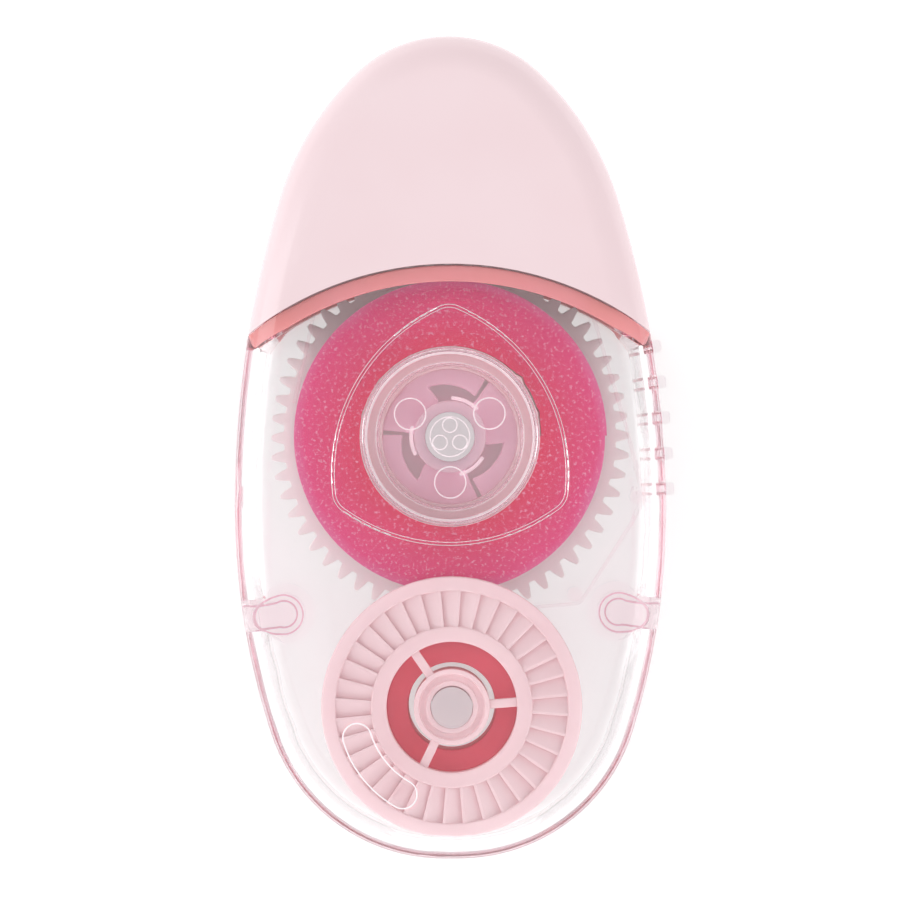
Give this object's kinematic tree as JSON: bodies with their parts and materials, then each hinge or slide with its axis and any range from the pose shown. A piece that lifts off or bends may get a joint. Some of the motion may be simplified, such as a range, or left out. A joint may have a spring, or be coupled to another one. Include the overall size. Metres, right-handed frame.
{
  "type": "tape roller",
  "caption": "Egg-shaped refill-less tape roller: clear case with geared tape reels, a roller head and a pull-off cap.",
  "frame": {"origin": "on the rear face of the case, under the middle of its egg outline, where the roller rests when it lies on its back", "axes": "+Z out of the front face, +Y along the roller towards the cap, +X towards the side with the grip ribs"},
  "size_m": [0.0365, 0.068, 0.017],
  "materials": {
    "clear_case": "clear, lightly pink",
    "cap_pink": "gloss, opaque",
    "natural_white": "satin, slightly translucent",
    "tape_magenta": "fine matt film edge",
    "reel_pink": "satin",
    "gear_rose": "satin",
    "liner_film": "siliconised film",
    "steel": "ground",
    "roller_rubber": "matt"
  },
  "bodies": {
    "case": {"rear_shell": "clear_case", "front_shell": "clear_case", "feed_strand": "tape_magenta", "return_strand": "liner_film", "head_base": "natural_white", "head_cover": "natural_white", "roller_axle": "steel"},
    "cap": {"cap": "cap_pink"},
    "supply_gear": {"supply_gear": "natural_white"},
    "supply_roll": {"supply_core": "reel_pink", "tape_roll": "tape_magenta"},
    "take_up": {"take_up_reel": "reel_pink", "take_up_gear": "gear_rose", "leader_winding": "liner_film"},
    "press_roller": {"roller_core": "natural_white", "roller_sleeve": "roller_rubber"},
    "pawl": {"ratchet_pawl": "clear_case"}
  },
  "joints": [
    {"name": "supply_spin", "type": "hinge", "parent": "case", "child": "supply_gear", "pos_m": [0, 0.00091, 0.003], "axis": [0, 0, 1], "continuous": true},
    {"name": "clutch_slip", "type": "hinge", "parent": "supply_gear", "child": "supply_roll", "pos_m": [0, 0.00091, 0.0081], "axis": [0, 0, 1], "continuous": true},
    {"name": "take_up_spin", "type": "hinge", "parent": "case", "child": "take_up", "pos_m": [0, -0.02145, 0.0081], "axis": [0, 0, 1], "continuous": true},
    {"name": "roller_spin", "type": "hinge", "parent": "case", "child": "press_roller", "pos_m": [0, 0.0296, 0.0081], "axis": [0, 0, 1], "continuous": true},
    {"name": "cap_pull", "type": "slide", "parent": "case", "child": "cap", "axis": [0, 1, 0], "range_m": [0, 0.03]},
    {"name": "pawl_flex", "type": "hinge", "parent": "case", "child": "pawl", "pos_m": [-0.00773, -0.02411, 0.01645], "axis": [-0.9455, -0.3256, 0], "range_deg": [0, 4], "stiffness_Nm_per_rad": 0.01}
  ],
  "couplings": [
    {"joint": "take_up_spin", "follows": "supply_spin", "ratio": -1.8667},
    {"joint": "roller_spin", "follows": "supply_spin", "ratio": 5.9091}
  ]
}
